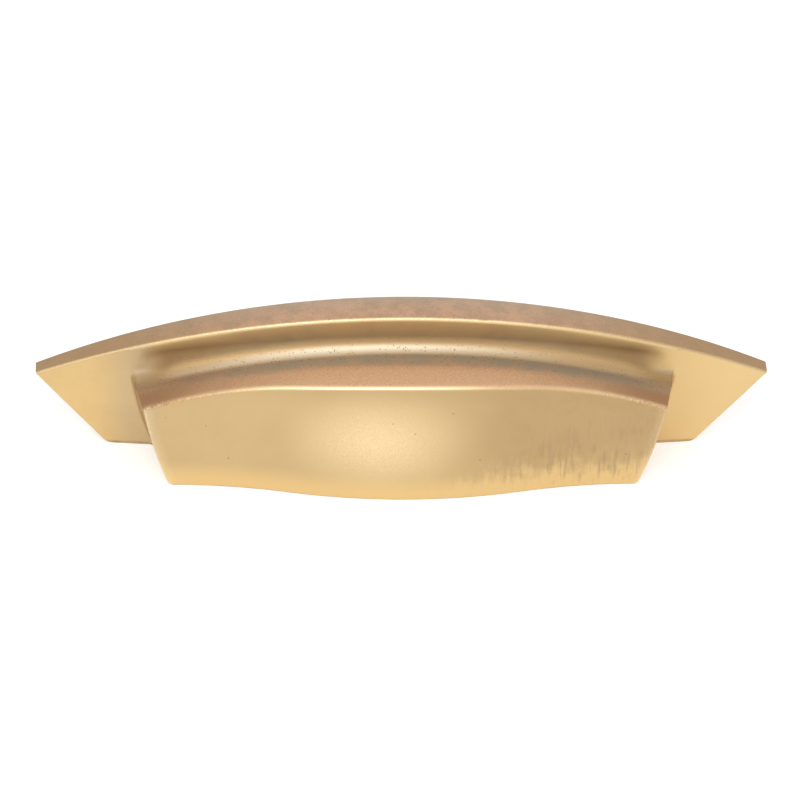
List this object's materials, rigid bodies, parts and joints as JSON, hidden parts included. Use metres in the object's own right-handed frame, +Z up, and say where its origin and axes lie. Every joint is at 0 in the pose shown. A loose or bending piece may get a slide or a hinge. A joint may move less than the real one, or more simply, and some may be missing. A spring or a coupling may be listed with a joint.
{
  "type": "cup pull",
  "caption": "Cast brass drawer pull with an arched plate, a swelling hood that the fingers reach behind, and tapped posts for screws from the back.",
  "frame": {"origin": "midway between the mouths of the two screw holes, on the plane of the plate's back", "axes": "+X along the plate, +Y out of the back toward the drawer front that carries it, +Z up as it is mounted"},
  "size_m": [0.1296, 0.0212, 0.0288],
  "materials": {
    "aged_brass": "worn satin brass with a reddish brown patina on the faces that look up"
  },
  "bodies": {
    "root": {"cup_pull": "aged_brass"}
  },
  "joints": []
}
